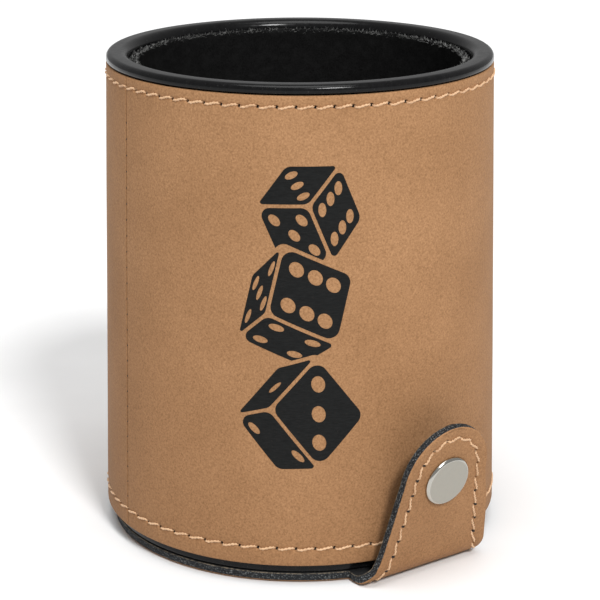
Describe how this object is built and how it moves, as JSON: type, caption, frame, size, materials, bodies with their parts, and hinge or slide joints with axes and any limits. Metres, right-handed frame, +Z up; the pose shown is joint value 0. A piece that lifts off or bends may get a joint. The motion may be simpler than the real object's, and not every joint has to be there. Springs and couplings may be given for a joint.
{
  "type": "dice cup",
  "caption": "Round leatherette-wrapped dice cup with a felt lining, and a store in its base closed by a snap flap.",
  "frame": {"origin": "on the cup's axis, at the underside of the base flap, where the cup stands", "axes": "+Z up along the cup's axis, -Y towards the snap tab, +Y towards the flap's hinge"},
  "size_m": [0.0842, 0.093, 0.1013],
  "materials": {
    "black_plastic": "moulded, satin to gloss on the rim",
    "black_felt": "short-napped felt",
    "tan_leather": "matte fine-grained leatherette, with a black printed dice motif on the wrap",
    "black_leather": "matte black backing with painted edges",
    "grey_board": "plain stiffener",
    "peach_thread": "twisted sewing thread",
    "nickel": "satin nickel with a polished bevel"
  },
  "bodies": {
    "cup": {"cup_shell": "black_plastic", "wall_lining": "black_felt", "floor_lining": "black_felt", "outer_wrap": "tan_leather", "top_edge_thread": "peach_thread", "bottom_edge_thread": "peach_thread", "hinge_tongue": "tan_leather", "snap_stud": "nickel", "snap_stud_post": "nickel"},
    "base_flap": {"base_skin": "tan_leather", "base_backing": "black_leather", "base_board": "grey_board", "base_lining": "black_felt", "base_thread": "peach_thread"},
    "snap_tab": {"tab_skin": "tan_leather", "tab_backing": "black_leather", "tab_thread": "peach_thread", "snap_cap": "nickel", "snap_socket": "nickel"}
  },
  "joints": [
    {"name": "base_hinge", "type": "hinge", "parent": "cup", "child": "base_flap", "pos_m": [0, 0.0406, 0.001], "axis": [1, 0, 0], "range_deg": [0, 170]},
    {"name": "tab_fold", "type": "hinge", "parent": "base_flap", "child": "snap_tab", "pos_m": [0, -0.04201, 0.0016], "axis": [1, 0, 0], "range_deg": [0, 76]}
  ]
}
